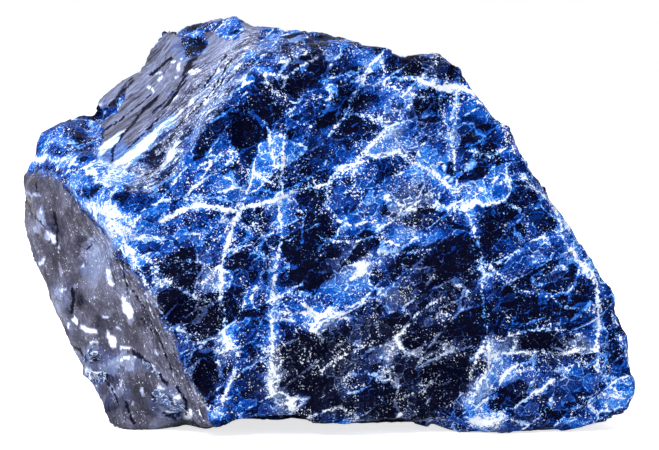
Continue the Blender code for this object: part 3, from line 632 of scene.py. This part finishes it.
def evaluated(mesh, kind, **settings):
    """A copy of the mesh with one modifier worked in."""
    carrier = bpy.data.objects.new("carrier", mesh)
    bpy.context.scene.collection.objects.link(carrier)
    modifier = carrier.modifiers.new(kind.title(), kind)
    for name, value in settings.items():
        setattr(modifier, name, value)
    graph = bpy.context.evaluated_depsgraph_get()
    result = bpy.data.meshes.new_from_object(carrier.evaluated_get(graph))
    bpy.data.objects.remove(carrier)
    return result


def stone_surface(shape):
    """The carried-over solid, merged and remade as an even fine skin."""
    bm = bmesh.new()
    bm.from_mesh(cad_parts[NODE].data)
    bmesh.ops.remove_doubles(bm, verts=bm.verts, dist=1e-6)
    bmesh.ops.recalc_face_normals(bm, faces=bm.faces)
    merged = bpy.data.meshes.new("merged")
    bm.to_mesh(merged)
    bm.free()
    return evaluated(merged, "REMESH", mode="VOXEL", voxel_size=shape.skin_step)


def even_out(bm, times):
    for _ in range(times):
        bmesh.ops.smooth_vert(
            bm, verts=bm.verts, factor=0.5, use_axis_x=True, use_axis_y=True, use_axis_z=True)


def refine_front(bm):
    """Splits the faces of the three sides in view into four."""
    camera = camera_place()
    bm.normal_update()
    facing = [face for face in bm.faces
              if face.normal.dot((camera - face.calc_center_median()).normalized()) > SPLIT_FROM]
    edges = sorted({edge for face in facing for edge in face.edges}, key=lambda edge: edge.index)
    bmesh.ops.subdivide_edges(bm, edges=edges, cuts=1, use_grid_fill=True)
    bmesh.ops.triangulate(bm, faces=[face for face in bm.faces if len(face.verts) > 4])


def outward_at(vert):
    """Direction the surface looks along at a vertex, summed in the same order each time."""
    total = Vector((0.0, 0.0, 0.0))
    for face in vert.link_faces:
        total += face.normal * face.calc_area()
    return total.normalized()


def stone_fields(places, outward):
    """The attributes at the stone's points, and how far it stands out there, in metres.

    On the sides in view the markings have their places in the picture; the others get patterns like them.
    """
    seen = front_view(places)
    towards = np.array(camera_place()) - places
    towards /= np.linalg.norm(towards, axis=1)[:, None]
    shown = np.clip((np.einsum("ij,ij->i", towards, outward) - SEEN_FROM) / SEEN_FADE, 0.0, 1.0)
    hidden = 1.0 - shown
    turned = np.where(hidden > 0.0)[0]
    away = places[turned]
    wander = wandering(places)
    shaken = seen + wander
    grains = grain_centres(places, GRAIN)

    def on_turned(values, elsewhere=0.0):
        """Values of the points that are turned away, and one number for the others."""
        field = np.full(len(places), elsewhere)
        field[turned] = values
        return field

    # How far each point lies inside the painted sheen of the top-left and left faces, in mm.
    gaps = patch_field(shaken, SHEEN_GAPS, 0.3)
    top_skin = np.clip(outline_field(seen, TOP_SHEEN), *SHEEN_RANGE_MM) - gaps - hidden * SHEEN_DROP_MM
    left_skin = (np.clip(outline_field(seen, LEFT_SHEEN), *SHEEN_RANGE_MM) - gaps) * shown
    left_skin += hidden * np.clip(on_turned(cloud_field(away, *SHEEN_SPREAD)), *SHEEN_RANGE_MM)
    top_share = np.clip(0.5 + top_skin / FADE_MM, 0.0, 1.0)
    left_share = np.clip(0.5 + left_skin / FADE_MM, 0.0, 1.0) * (1.0 - top_share)

    darker = [patch for patch in FRONT_PATCHES if patch[4] < 0.0]
    paler = [patch for patch in FRONT_PATCHES if patch[4] >= 0.0]
    front = patch_field(front_view(grains) + 0.5 * wander, darker, 0.4)
    front += patch_field(shaken, paler, 0.5)
    front += patch_field(shaken, KNOB_PATCHES, 0.3)
    upper = patch_field(front_view(plate_shifted(places)), TOP_PATCHES, 0.2)
    upper += patch_field(seen + 0.3 * wander, TOP_CHIPS, 0.2)
    side = patch_field(front_view(grain_centres(places, LEFT_CHIP)) + 0.5 * wander, LEFT_PATCHES, 0.15)
    side += FLAKE_STRENGTH * patch_field(seen + 0.6 * wander, LEFT_CHIPS, 0.15)
    tone = front * (1.0 - top_share - left_share) + upper * top_share + side * left_share
    cloud = on_turned(cloud_field(grains[turned], *CLOUDED)) * (1.0 - 0.7 * left_share)

    sheets = on_turned(np.minimum(sheet_field(away), LINE_REACH_MM), LINE_REACH_MM)
    vein = np.minimum(line_field(seen + 0.45 * wander, VEINS), LINE_REACH_MM) * shown + sheets * hidden
    crack = np.minimum(line_field(seen + 0.35 * wander, CRACKS), LINE_REACH_MM)
    crack = crack * shown + LINE_REACH_MM * hidden
    lift = patch_field(shaken, RAISED, 0.8) * shown * MM
    lift -= CRACK_DEPTH * np.exp(-(np.maximum(crack, 0.0) / CRACK_REACH_MM) ** 2)
    dull = on_turned(cloud_field(away, *DULLED))
    return {
        "tone": tone * shown + cloud * hidden,
        "vein": vein,
        "crack": crack,
        "grey": patch_field(shaken, GREY_PATCHES, 0.5) * shown + dull * hidden,
        "tinge": patch_field(shaken, TINGED, 0.4) * shown,
        "top_skin": top_skin,
        "left_skin": left_skin,
        "top_rim": ridge_field(seen, TOP_RIDGE, TOP_RIM_MM),
        "left_rim": ridge_field(seen, LEFT_RIDGE, LEFT_RIM_MM),
    }, lift


def relief(place, shape, top_mm, left_mm):
    """Parts of the fine relief at a place, by how far it lies inside the painted sheen of each of the
    top-left and left faces.
    """
    top = smooth(-FADE_MM, FADE_MM, top_mm)
    left = smooth(-FADE_MM, FADE_MM, left_mm) * (1.0 - top)
    shares = ((1.0 - top - left, blue_relief), (top, plate_relief), (left, wave_relief))
    return [share * height(place, shape) for share, height in shares if share > 0.0]


def build_stone(shape):
    """The stone's finished mesh, with the attributes that its material reads."""
    mesh = stone_surface(shape)
    bm = bmesh.new()
    bm.from_mesh(mesh)
    even_out(bm, 1)
    bm.edges.index_update()
    refine_front(bm)
    even_out(bm, 2)
    bm.normal_update()
    outward = [outward_at(vert) for vert in bm.verts]
    places = np.array([tuple(vert.co) for vert in bm.verts])
    fields, lift = stone_fields(places, np.array([tuple(direction) for direction in outward]))
    for vert, direction, height, top_mm, left_mm in zip(
            bm.verts, outward, lift, fields["top_skin"], fields["left_skin"]):
        for part in relief(vert.co, shape, top_mm, left_mm):
            height += part
        vert.co += direction * height
        vert.co.z = max(vert.co.z, 0.0)
    bm.to_mesh(mesh)
    bm.free()
    mesh.shade_smooth()
    for name, values in fields.items():
        layer = mesh.attributes.new(name, "FLOAT", "POINT")
        layer.data.foreach_set("value", values.astype(np.float32))
    return mesh


def solid(colour):
    return (colour[0], colour[1], colour[2], 1.0)


class Graph:
    """Short ways to add and join shader nodes; sizes are in mm."""

    def __init__(self, owner):
        self.tree = owner.node_tree

    def add(self, kind, **settings):
        node = self.tree.nodes.new(kind)
        for name, value in settings.items():
            setattr(node, name, value)
        return node

    def feed(self, socket, value):
        """Links an output to a socket, or sets the socket to a number, colour or vector."""
        if isinstance(value, bpy.types.NodeSocket):
            self.tree.links.new(value, socket)
        elif value is not None:
            socket.default_value = value

    def math(self, operation, first, second=None, third=None, clamp=False):
        node = self.add("ShaderNodeMath", operation=operation, use_clamp=clamp)
        for socket, value in zip(node.inputs, (first, second, third)):
            self.feed(socket, value)
        return node.outputs[0]

    def times(self, first, second):
        return self.math("MULTIPLY", first, second)

    def scaled(self, value, gain, shift):
        return self.math("MULTIPLY_ADD", value, gain, shift)

    def swing(self, value, amount):
        """A pattern between 0 and 1 turned to a push between minus and plus the amount."""
        return self.scaled(value, 2.0 * amount, -amount)

    def total(self, first, *others):
        for value in others:
            first = self.math("ADD", first, value)
        return first

    def highest(self, first, *others):
        for value in others:
            first = self.math("MAXIMUM", first, value)
        return first

    def vector(self, operation, first, second):
        node = self.add("ShaderNodeVectorMath", operation=operation)
        self.feed(node.inputs[0], first)
        self.feed(node.inputs["Scale"] if operation == "SCALE" else node.inputs[1], second)
        return node.outputs["Value"] if operation == "DOT_PRODUCT" else node.outputs["Vector"]

    def step(self, value, low, high, start=0.0, end=1.0):
        """Eases from start at low to end at high."""
        node = self.add("ShaderNodeMapRange", interpolation_type="SMOOTHSTEP")
        names = ("Value", "From Min", "From Max", "To Min", "To Max")
        for name, number in zip(names, (value, low, high, start, end)):
            self.feed(node.inputs[name], number)
        return node.outputs["Result"]

    def mix(self, share, first, second):
        node = self.add("ShaderNodeMix", data_type="RGBA")
        for name, value in (("Factor", share), ("A", first), ("B", second)):
            self.feed(node.inputs[name], value)
        return node.outputs["Result"]

    def attribute(self, name):
        return self.add("ShaderNodeAttribute", attribute_name=name).outputs["Fac"]

    def texture(self, kind, place, size, **settings):
        node = self.add(kind, **settings)
        self.feed(node.inputs["Vector"], place)
        node.inputs["Scale"].default_value = 1.0 / size
        return node

    def noise(self, place, size, detail=2.0, rough=0.55):
        """Cloudy pattern between 0 and 1."""
        node = self.texture("ShaderNodeTexNoise", place, size)
        node.inputs["Detail"].default_value = detail
        node.inputs["Roughness"].default_value = rough
        return node.outputs["Fac"]

    def drift(self, place, size, amount):
        """The place, pushed about by a cloudy pattern."""
        node = self.texture("ShaderNodeTexNoise", place, size)
        node.inputs["Detail"].default_value = 3.0
        centred = self.vector("SUBTRACT", node.outputs["Color"], (0.5, 0.5, 0.5))
        return self.vector("ADD", place, self.vector("SCALE", centred, amount))

    def cells(self, place, size):
        """A random number for each cell."""
        split = self.add("ShaderNodeSeparateColor")
        node = self.texture("ShaderNodeTexVoronoi", place, size, feature="F1")
        self.feed(split.inputs[0], node.outputs["Color"])
        return split.outputs[0]

    def edges(self, place, size):
        """Distance in mm to the borders between cells."""
        node = self.texture("ShaderNodeTexVoronoi", place, size, feature="DISTANCE_TO_EDGE")
        return self.times(node.outputs["Distance"], size)

    def ramp(self, value, *stops):
        """A colour that changes with a value; each stop is (value, colour)."""
        node = self.add("ShaderNodeValToRGB")
        while len(node.color_ramp.elements) < len(stops):
            node.color_ramp.elements.new(1.0)
        for element, (position, colour) in zip(node.color_ramp.elements, stops):
            element.position = position
            element.color = solid(colour)
        self.feed(node.inputs[0], value)
        return node.outputs["Color"]

    def striped(self, place, along, across, out):
        """The place measured along three directions, and drawn out along the first."""
        node = self.add("ShaderNodeCombineXYZ")
        directions = ((along, STRIPE_STRETCH), (across, 1.0), (out, 1.0))
        for socket, (direction, stretch) in zip(node.inputs, directions):
            distance = self.vector("DOT_PRODUCT", place, tuple(direction))
            self.feed(socket, self.times(distance, stretch))
        return node.outputs[0]


def rock_marks(graph, place, bent, small, tone, vein):
    """Shares, from 0 to 1, of the pale marks on the blue rock."""
    where = graph.total(graph.noise(place, 2.3, 2.0), graph.swing(graph.noise(place, 9.0, 1.0), 0.12))
    broken = graph.step(graph.noise(place, 0.55, 3.0, 0.7), 0.42, 0.56)
    ragged = graph.swing(graph.noise(place, 0.35, 4.0, 0.75), 0.45)
    web = graph.total(graph.edges(bent, COARSE_GRAIN), ragged)
    web = graph.math("SUBTRACT", web, graph.step(where, 0.38, 0.62, -0.16, 0.13))
    thread = graph.total(graph.edges(small, FINE_GRAIN), graph.step(where, 0.70, 0.46, 0.10, -0.02))
    edge = graph.total(vein, graph.swing(graph.noise(place, 0.45, 5.0, 0.8), 0.85),
                       graph.swing(graph.noise(place, 1.8, 2.0), 0.30))
    halo = graph.step(edge, 1.0, 0.0)
    snow = graph.total(graph.noise(place, SPECKLE, 5.0, 0.8), graph.scaled(tone, 0.46, -0.175))
    crowding = graph.step(graph.noise(place, 2.4, 3.0, 0.6), 0.36, 0.62, -0.065, 0.045)
    # The fleck marks are partly white flecks of the rock and partly painted glints of its glassy grains.
    fleck_and_glint = graph.total(graph.noise(place, FLECK_AND_GLINT, 2.0, 0.7), graph.times(halo, 0.05), crowding,
                        graph.times(graph.math("MINIMUM", tone, 0.0), 0.05))
    return {
        "web": graph.step(web, 0.07, -0.02),
        "thread": graph.times(graph.step(thread, 0.07, 0.0), broken),
        "halo": halo,
        "fleck_and_glint": graph.step(fleck_and_glint, 0.64, 0.67),
        "dust": graph.step(graph.noise(place, DUST, 2.0, 0.6), 0.63, 0.67),
        "snow": graph.step(snow, 0.52, 0.64),
        "vein": graph.times(graph.step(edge, 0.04, -0.12), graph.scaled(broken, 0.25, 0.75)),
    }


def rock_tone(graph, place, cleaved, tone, vein):
    """How pale the blue rock is: 0 is black, 1 is white."""
    bent = graph.drift(cleaved, 2.4, 1.1)
    small = graph.drift(graph.vector("MULTIPLY", place, (0.8, 1.0, 1.0)), 1.0, 0.6)
    coarse = graph.swing(graph.cells(bent, COARSE_GRAIN), 0.22)
    fine = graph.swing(graph.cells(small, FINE_GRAIN), 0.13)
    body = graph.math("MINIMUM", graph.total(coarse, fine, tone, MIDDLE_TONE), PALEST_TONE)
    body = graph.math("MAXIMUM", body, DARKEST_TONE)
    streaky = graph.step(graph.noise(place, 5.0, 2.0), 0.36, 0.62, 0.22, 0.70)
    streaks = graph.times(graph.swing(graph.noise(cleaved, STREAK, 5.0, 0.8), 1.0), streaky)
    grit = graph.swing(graph.noise(place, GRIT, 4.0, 0.8), 0.30)
    marks = rock_marks(graph, place, bent, small, tone, vein)
    pale = graph.highest(*(graph.times(marks[name], strength) for name, strength in MARKS.items()))
    return graph.math("ADD", graph.total(body, streaks, grit), pale, clamp=True)


def rock_colour(graph, pale, place, colours):
    """Black, blue and white rock, with a greyer share in places."""
    blue = graph.ramp(
        pale, (0.14, colours.black), (0.29, colours.navy), (0.46, colours.royal),
        (0.63, colours.bright), (0.79, colours.pale), (0.93, colours.white))
    grey = graph.ramp(
        pale, (0.12, colours.black), (0.34, colours.slate), (0.62, colours.ash), (0.92, colours.white))
    patch = graph.swing(graph.noise(place, 1.6, 3.0, 0.6), 0.9)
    share = graph.math("ADD", graph.attribute("grey"), patch, clamp=True)
    return graph.mix(graph.times(share, 0.90), blue, grey)


def crack_share(graph, place):
    """1 away from the cracks, down to near 0 in them."""
    edge = graph.total(graph.attribute("crack"), graph.swing(graph.noise(place, 0.5, 3.0, 0.7), 0.28))
    return graph.step(edge, -0.04, 0.10, 0.12, 1.0)


def top_sheen_colour(graph, plates, place, tone, colours):
    """Painted sheen of the top-left face: lavender grey plates with dark cracks and white streaks, bluer near
    the front ridge.
    """
    rim = graph.attribute("top_rim")
    lines = graph.swing(graph.noise(plates, 0.34, 5.0, 0.72), 1.0)
    lines = graph.times(lines, graph.scaled(rim, 0.75, 0.40))
    uneven = graph.swing(graph.cells(graph.drift(plates, 2.0, 1.0), 1.6), 0.07)
    streak = graph.step(graph.noise(plates, 0.26, 2.0, 0.6), 0.62, 0.67)
    streak = graph.times(streak, graph.scaled(rim, 0.45, 0.12))
    dot = graph.step(graph.noise(place, 0.25, 2.0, 0.6), 0.585, 0.63)
    fleck_and_glint = graph.highest(streak, graph.times(dot, graph.times(rim, 0.70)))
    shade = graph.total(lines, tone, TOP_TONE, uneven, fleck_and_glint)
    shade = graph.math("MULTIPLY", shade, crack_share(graph, place), clamp=True)
    # Grey, brown and lavender of the painted sheen, darkest in the cracks.
    grey = graph.ramp(
        shade, (0.08, colours.top_dark), (0.30, colours.top_brown), (0.46, colours.top_sheen_grey),
        (0.66, colours.top_sheen_pale), (0.90, colours.white))
    blue = graph.ramp(
        shade, (0.10, colours.navy), (0.45, colours.top_blue), (0.72, colours.pale), (0.90, colours.white))
    tinge = graph.highest(rim, graph.attribute("tinge"))
    tinge = graph.total(tinge, graph.swing(graph.noise(plates, 0.8, 3.0, 0.6), 1.2))
    return graph.mix(graph.step(tinge, 0.35, 1.2), grey, blue)


def left_sheen_colour(graph, place, ridged, tone, colours):
    """Greasy painted sheen of the left face: taupe and lavender grey, white flecks and painted glints, bluer
    in places, striped near the front ridge.
    """
    rim = graph.attribute("left_rim")
    stripes = graph.swing(graph.noise(ridged, 0.40, 4.0, 0.7), 0.55)
    stripes = graph.times(stripes, graph.scaled(rim, 0.8, 0.25))
    cloud = graph.swing(graph.noise(place, 4.0, 2.0, 0.5), 0.28)
    fine = graph.swing(graph.noise(place, 0.5, 3.0, 0.6), 0.16)
    short = graph.vector("MULTIPLY", ridged, (2.6, 1.0, 1.0))
    dash = graph.step(graph.noise(short, 0.24, 2.0, 0.6), 0.63, 0.68)
    dash = graph.times(dash, graph.scaled(rim, 0.55, 0.12))
    fleck_and_glint = graph.step(graph.noise(place, 0.28, 2.0, 0.6), 0.65, 0.69)
    fleck_and_glint = graph.times(fleck_and_glint, graph.step(graph.noise(place, 2.0, 2.0), 0.42, 0.60, 0.12, 0.8))
    shade = graph.total(tone, stripes, cloud, fine, graph.highest(fleck_and_glint, dash), LEFT_TONE)
    shade = graph.math("MULTIPLY", shade, crack_share(graph, place), clamp=True)
    # Taupe and grey of the painted sheen.
    taupe = graph.ramp(
        shade, (0.05, colours.top_dark), (0.30, colours.left_sheen_brown), (0.52, colours.left_sheen_grey),
        (0.68, colours.top_sheen_pale), (0.85, colours.white))
    blue = graph.ramp(
        shade, (0.05, colours.black), (0.30, colours.left_blue), (0.60, colours.left_haze),
        (0.85, colours.white))
    tinge = graph.total(graph.attribute("tinge"), graph.swing(graph.noise(place, 1.6, 4.0, 0.7), 1.0))
    return graph.mix(graph.step(tinge, 0.2, 1.2), taupe, blue)


def stone_material(colours):
    material = bpy.data.materials.new("sodalite")
    material.use_nodes = True
    graph = Graph(material)
    shader = material.node_tree.nodes["Principled BSDF"]
    metres = graph.add("ShaderNodeTexCoord").outputs["Object"]
    place = graph.vector("SCALE", metres, 1.0 / MM)
    turn = graph.add("ShaderNodeMapping")
    turn.inputs["Rotation"].default_value = (0.0, CLEAVAGE_TURN, 0.0)
    graph.feed(turn.inputs["Vector"], place)
    cleaved = graph.vector("MULTIPLY", turn.outputs["Vector"], (CLEAVAGE_STRETCH, 1.0, 1.0))
    plates = graph.striped(place, PLATE_ALONG, PLATE_ACROSS, PLATE_OUT)
    ridged = graph.striped(place, RIDGE_ALONG, RIDGE_ACROSS, RIDGE_OUT)
    tone = graph.attribute("tone")
    rock = rock_tone(graph, place, cleaved, tone, graph.attribute("vein"))
    ragged = graph.swing(graph.noise(place, 0.8, 4.0, 0.65), 1.6)
    # Shares of the painted sheen of the top-left and left faces.
    top, left = (graph.step(graph.total(graph.attribute(name), ragged), -FADE_MM, FADE_MM)
                 for name in ("top_skin", "left_skin"))
    colour = rock_colour(graph, rock, place, colours)
    colour = graph.mix(left, colour, left_sheen_colour(graph, place, ridged, tone, colours))
    colour = graph.mix(top, colour, top_sheen_colour(graph, plates, place, tone, colours))
    rough = graph.highest(graph.step(rock, 0.2, 0.9, 0.24, 0.62), graph.times(top, TOP_ROUGHNESS))
    plain = graph.math("SUBTRACT", 1.2, graph.highest(top, left))
    height = graph.total(graph.times(graph.noise(place, 0.45, 5.0, 0.7), plain),
                         graph.times(graph.noise(plates, 0.5, 4.0, 0.7), top))
    bump = graph.add("ShaderNodeBump")
    bump.inputs["Strength"].default_value = 1.0
    bump.inputs["Distance"].default_value = GRAIN_BUMP
    graph.feed(bump.inputs["Height"], height)
    graph.feed(shader.inputs["Base Color"], colour)
    graph.feed(shader.inputs["Roughness"], rough)
    graph.feed(shader.inputs["Normal"], bump.outputs["Normal"])
    shader.inputs["IOR"].default_value = STONE_IOR
    shader.inputs["Specular IOR Level"].default_value = STONE_SPECULAR
    return material


class SODALITE_OT_stone(bpy.types.Operator):
    """Finishes the stone over its solid."""

    bl_idname = "sodalite.stone"
    bl_label = "Make the stone"

    def execute(self, context):
        scene = context.scene
        mesh = build_stone(scene.sodalite_shape)
        mesh.materials.clear()
        mesh.materials.append(stone_material(scene.sodalite_colours))
        stone = bpy.data.objects.new("stone", mesh)
        scene.collection.objects.link(stone)
        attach(stone, "root")
        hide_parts(NODE)
        return {"FINISHED"}


def add_light(scene, name, place, size, power):
    data = bpy.data.lights.new(name, "AREA")
    data.shape = "SQUARE"
    data.size = size
    data.energy = power
    light = bpy.data.objects.new(name, data)
    light.location = place
    light.rotation_euler = (VIEW_CENTRE - Vector(place)).to_track_quat("-Z", "Y").to_euler()
    scene.collection.objects.link(light)


def add_floor(scene, colour):
    """A pale floor, with a glow that only the camera sees."""
    bm = bmesh.new()
    bmesh.ops.create_grid(bm, x_segments=1, y_segments=1, size=FLOOR_HALF)
    mesh = bpy.data.meshes.new("floor")
    bm.to_mesh(mesh)
    bm.free()
    material = bpy.data.materials.new("pale_floor")
    material.use_nodes = True
    graph = Graph(material)
    shader = material.node_tree.nodes["Principled BSDF"]
    shader.inputs["Base Color"].default_value = solid(colour)
    shader.inputs["Roughness"].default_value = 0.9
    shader.inputs["Specular IOR Level"].default_value = 0.0
    shader.inputs["Emission Color"].default_value = solid(colour)
    seen = graph.add("ShaderNodeLightPath").outputs["Is Camera Ray"]
    graph.feed(shader.inputs["Emission Strength"], graph.times(seen, FLOOR_GLOW))
    mesh.materials.append(material)
    floor = bpy.data.objects.new("floor", mesh)
    scene.collection.objects.link(floor)


def add_surround(scene, colour):
    """White behind the stone; what lights it is brighter behind, above and on the left than in front."""
    world = bpy.data.worlds.new("surround")
    scene.world = world
    world.use_nodes = True
    graph = Graph(world)
    background = world.node_tree.nodes["Background"]
    background.inputs["Color"].default_value = solid(colour)
    towards = graph.add("ShaderNodeTexCoord").outputs["Generated"]
    side = graph.vector("DOT_PRODUCT", towards, BRIGHT_SIDE)
    lighting = graph.step(side, -0.6, 0.9, LEAST_LIGHT, MOST_LIGHT)
    seen = graph.add("ShaderNodeLightPath").outputs["Is Camera Ray"]
    graph.feed(background.inputs["Strength"], graph.highest(lighting, seen))


def add_camera(scene):
    data = bpy.data.cameras.new("camera")
    data.lens = VIEW_LENS
    data.sensor_width = VIEW_SENSOR
    data.clip_start = 0.01
    data.clip_end = 20.0
    camera = bpy.data.objects.new("camera", data)
    camera.location = camera_place()
    camera.rotation_euler = (math.pi / 2.0 - math.radians(VIEW_ELEVATION), 0.0, 0.0)
    scene.collection.objects.link(camera)
    scene.camera = camera


class SODALITE_OT_stage(bpy.types.Operator):
    """Adds the floor, the lights and the camera."""

    bl_idname = "sodalite.stage"
    bl_label = "Make the stage"

    def execute(self, context):
        scene = context.scene
        stage = scene.sodalite_stage
        scene.view_settings.view_transform = "Standard"
        add_floor(scene, stage.floor)
        add_surround(scene, stage.surround)
        for name, place, size in LIGHTS:
            add_light(scene, name, place, size, getattr(stage, name))
        add_camera(scene)
        return {"FINISHED"}


class SODALITE_PT_panel(bpy.types.Panel):
    """Lists the sizes, colours and steps that make the stone."""

    bl_label = "Rough sodalite"
    bl_idname = "SODALITE_PT_panel"
    bl_space_type = "VIEW_3D"
    bl_region_type = "UI"
    bl_category = "Sodalite"

    def draw(self, context):
        scene = context.scene
        for group in (scene.sodalite_shape, scene.sodalite_colours, scene.sodalite_stage):
            box = self.layout.box()
            for name in group.bl_rna.properties.keys():
                if name not in ("rna_type", "name"):
                    box.prop(group, name)
        self.layout.operator(SODALITE_OT_stone.bl_idname)
        self.layout.operator(SODALITE_OT_stage.bl_idname)


CLASSES = (
    SodaliteShape, SodaliteColours, SodaliteStage, SODALITE_OT_stone, SODALITE_OT_stage, SODALITE_PT_panel,
)


def register():
    for cls in CLASSES:
        bpy.utils.register_class(cls)
    bpy.types.Scene.sodalite_shape = bpy.props.PointerProperty(type=SodaliteShape)
    bpy.types.Scene.sodalite_colours = bpy.props.PointerProperty(type=SodaliteColours)
    bpy.types.Scene.sodalite_stage = bpy.props.PointerProperty(type=SodaliteStage)


def unregister():
    del bpy.types.Scene.sodalite_shape
    del bpy.types.Scene.sodalite_colours
    del bpy.types.Scene.sodalite_stage
    for cls in reversed(CLASSES):
        bpy.utils.unregister_class(cls)


def main():
    register()
    bpy.ops.sodalite.stone()
    bpy.ops.sodalite.stage()


if __name__ == "__main__":
    main()
